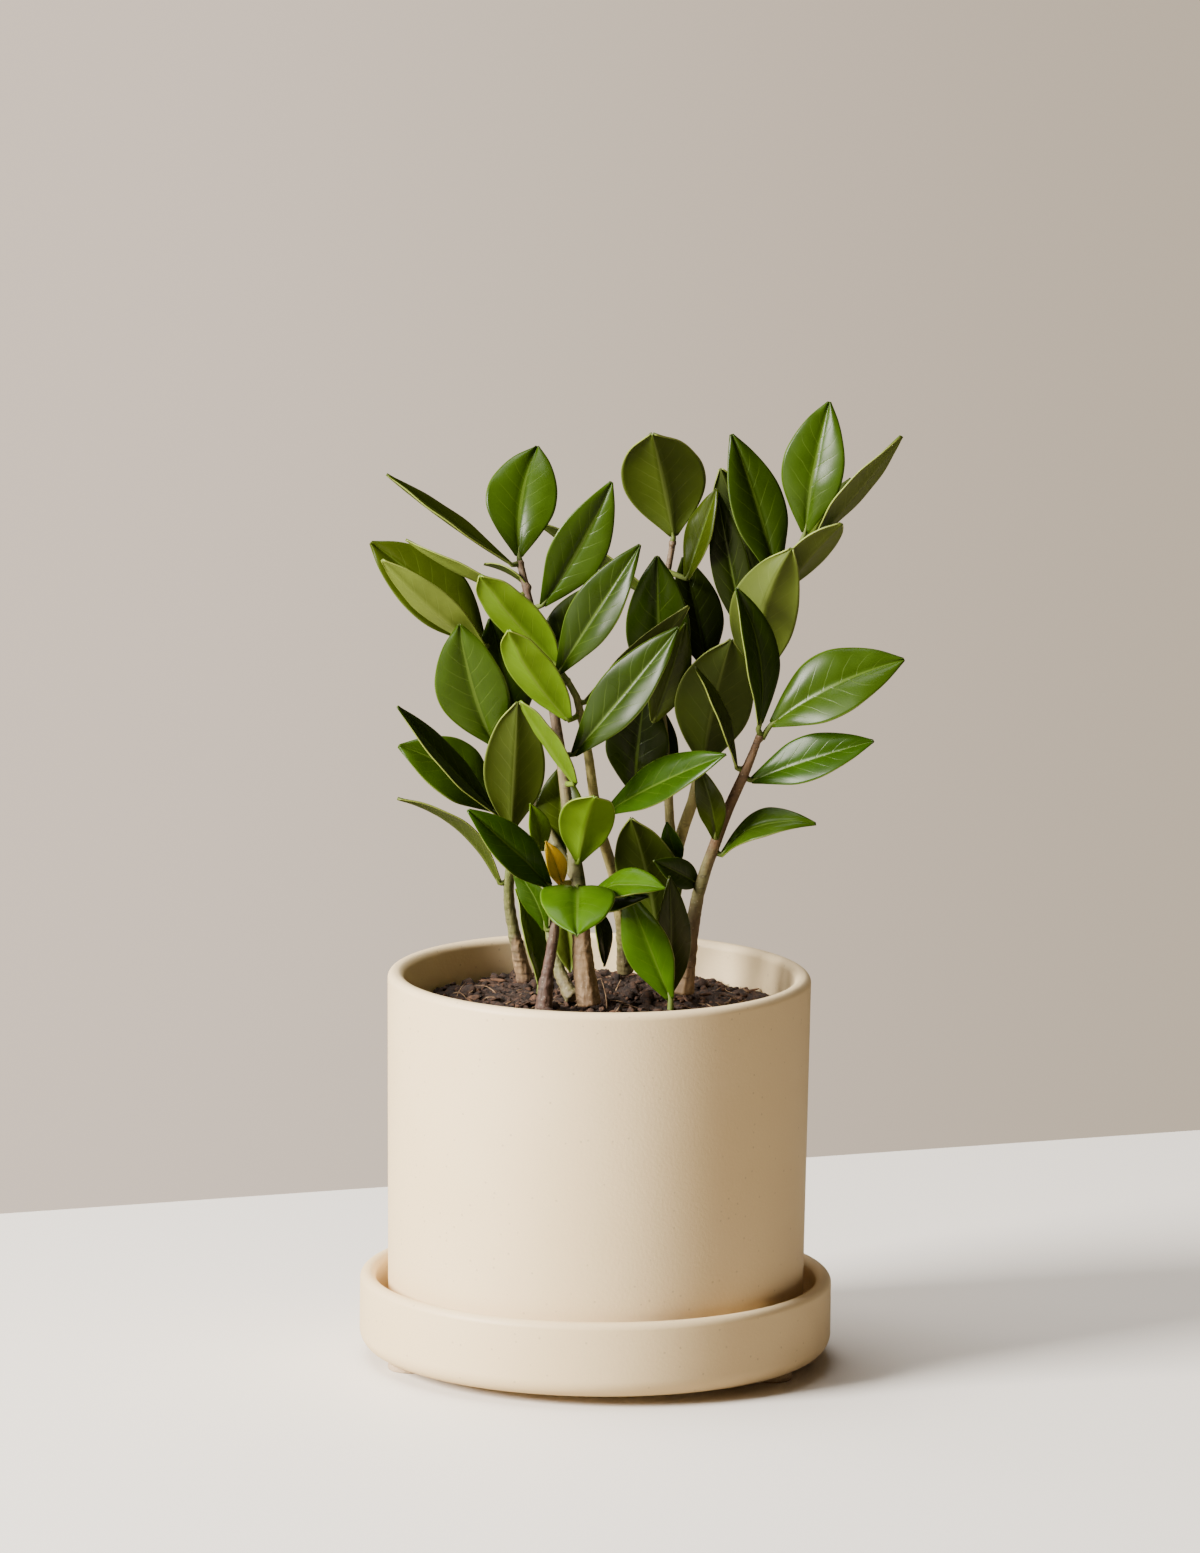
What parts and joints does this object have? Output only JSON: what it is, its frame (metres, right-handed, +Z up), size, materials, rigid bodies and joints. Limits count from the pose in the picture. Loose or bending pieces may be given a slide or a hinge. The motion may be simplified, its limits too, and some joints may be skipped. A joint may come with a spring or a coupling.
{
  "type": "potted zz plant",
  "caption": "Leafy ZZ plant with upright stems and glossy oval leaflets, in a matte cream stoneware pot on a padded saucer.",
  "frame": {"origin": "centre of the saucer's flat underside, on the axis of the pot; the pads reach 2.8 mm below it", "axes": "+Z up, the front of the plant faces -Y, +X to its right"},
  "size_m": [0.1648, 0.1452, 0.298],
  "materials": {
    "cream_glaze": "matte cream stoneware with fine warm speckles",
    "felt": "pale tan felt, pressed flat",
    "potting_mix": "dark, damp, chunky bark and peat mix with pale fibres",
    "stem_bark": "ringed brown bark below, smooth olive and purple-brown skin above",
    "leaf_dark": "waxy dark green leaf, paler and duller beneath",
    "leaf_green": "waxy mid green leaf, paler olive beneath",
    "leaf_lime": "young lime green leaf with a soft satin skin"
  },
  "bodies": {
    "root": {"pot": "cream_glaze", "saucer": "cream_glaze", "pad_left": "felt", "pad_right": "felt", "pad_back": "felt", "potting_mix": "potting_mix", "stem_left": "stem_bark", "stem_front_left": "stem_bark", "stem_front_leaning": "stem_bark", "stem_centre": "stem_bark", "stem_rear": "stem_bark", "stem_right": "stem_bark", "stem_rear_right": "stem_bark", "leaflet_left_upright": "leaf_green", "leaflet_left_low": "leaf_dark", "leaflet_left_dark": "leaf_dark", "leaflet_left_glossy": "leaf_green", "leaflet_front_broad": "leaf_dark", "leaflet_front_narrow": "leaf_dark", "leaflet_inner_young": "leaf_lime", "leaflet_crown_left_tip": "leaf_green", "leaflet_crown_left_long": "leaf_dark", "leaflet_crown_left_inner": "leaf_green", "leaflet_left_pale": "leaf_lime", "leaflet_young_upper": "leaf_lime", "leaflet_young_middle": "leaf_lime", "leaflet_young_lower": "leaf_lime", "leaflet_front_round": "leaf_lime", "leaflet_front_drooping": "leaf_green", "leaflet_front_right_bright": "leaf_green", "leaflet_left_spread": "leaf_dark", "leaflet_left_lime": "leaf_lime", "leaflet_left_round": "leaf_green", "leaflet_left_behind_round": "leaf_green", "leaflet_centre_glossy": "leaf_dark", "leaflet_centre_bright": "leaf_green", "leaflet_centre_long": "leaf_dark", "leaflet_centre_olive": "leaf_dark", "leaflet_mix_bright": "leaf_green", "leaflet_right_oval": "leaf_green", "leaflet_right_low": "leaf_dark", "leaflet_right_thin": "leaf_dark", "leaflet_right_wide_low": "leaf_green", "leaflet_right_dark_oval": "leaf_dark", "leaflet_right_wide_high": "leaf_green", "leaflet_lower_olive": "leaf_green", "leaflet_right_olive": "leaf_green", "leaflet_upper_shade": "leaf_dark", "leaflet_upper_behind": "leaf_dark", "leaflet_crown_right_dark": "leaf_dark", "leaflet_crown_right_tip": "leaf_green", "leaflet_crown_right_long": "leaf_green", "leaflet_crown_right_blunt": "leaf_green", "leaflet_right_lime": "leaf_lime", "leaflet_crown_centre_tip": "leaf_dark", "leaflet_crown_centre_dark": "leaf_dark", "leaflet_crown_behind": "leaf_dark", "leaflet_inner_dark_left": "leaf_dark", "leaflet_inner_dark_right": "leaf_dark", "leaflet_inner_dark_low": "leaf_dark"}
  },
  "joints": []
}
